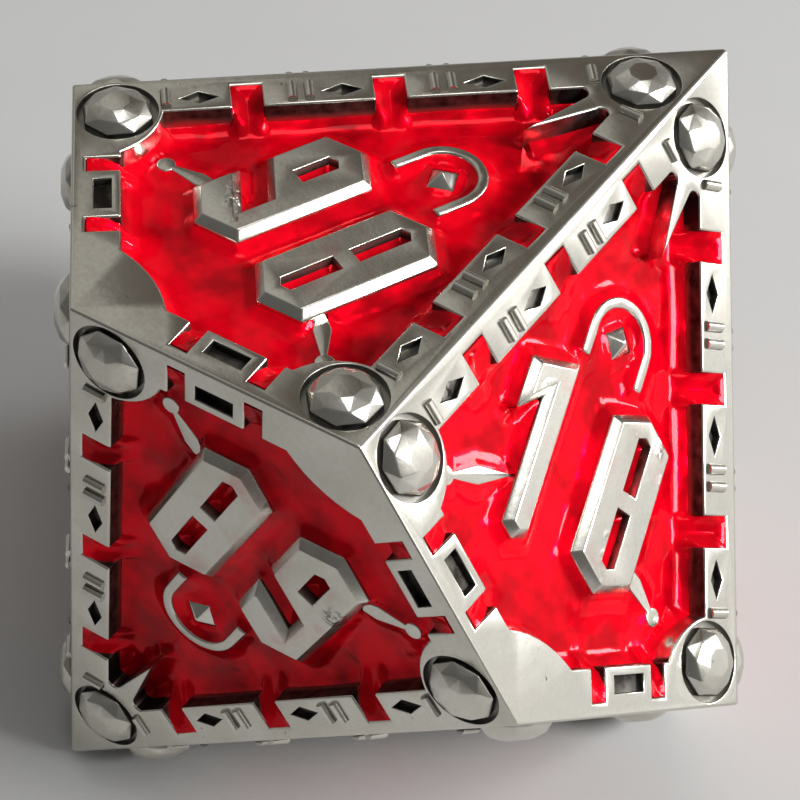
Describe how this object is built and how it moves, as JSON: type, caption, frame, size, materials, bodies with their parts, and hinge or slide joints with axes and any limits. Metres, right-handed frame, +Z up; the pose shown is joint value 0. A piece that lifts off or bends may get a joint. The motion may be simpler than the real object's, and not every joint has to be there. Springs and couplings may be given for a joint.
{
  "type": "ten-sided die",
  "caption": "Percentile gaming die: a nickel-plated metal trapezohedron with raised block numerals, notched borders and corner studs, and red enamel in its sunk kite faces.",
  "frame": {"origin": "on the surface that the die rests on, below the die's centre", "axes": "+Z up, square to the 90 face, which is on top; +Y along the 90 face towards the pole that its numerals point to; +X to the right of those numerals"},
  "size_m": [0.0218, 0.0192, 0.0167],
  "materials": {
    "nickel": "satin nickel plating",
    "red_enamel": "glossy red enamel"
  },
  "bodies": {
    "root": {"cast_body": "nickel", "enamel_field_00": "red_enamel", "enamel_field_10": "red_enamel", "enamel_field_20": "red_enamel", "enamel_field_30": "red_enamel", "enamel_field_40": "red_enamel", "enamel_field_50": "red_enamel", "enamel_field_60": "red_enamel", "enamel_field_70": "red_enamel", "enamel_field_80": "red_enamel", "enamel_field_90": "red_enamel", "enamel_counters_00": "red_enamel", "enamel_counters_10": "red_enamel", "enamel_counters_20": "red_enamel", "enamel_counters_30": "red_enamel", "enamel_counters_40": "red_enamel", "enamel_counters_50": "red_enamel", "enamel_counters_60": "red_enamel", "enamel_counters_70": "red_enamel", "enamel_counters_80": "red_enamel", "enamel_counters_90": "red_enamel"}
  },
  "joints": []
}
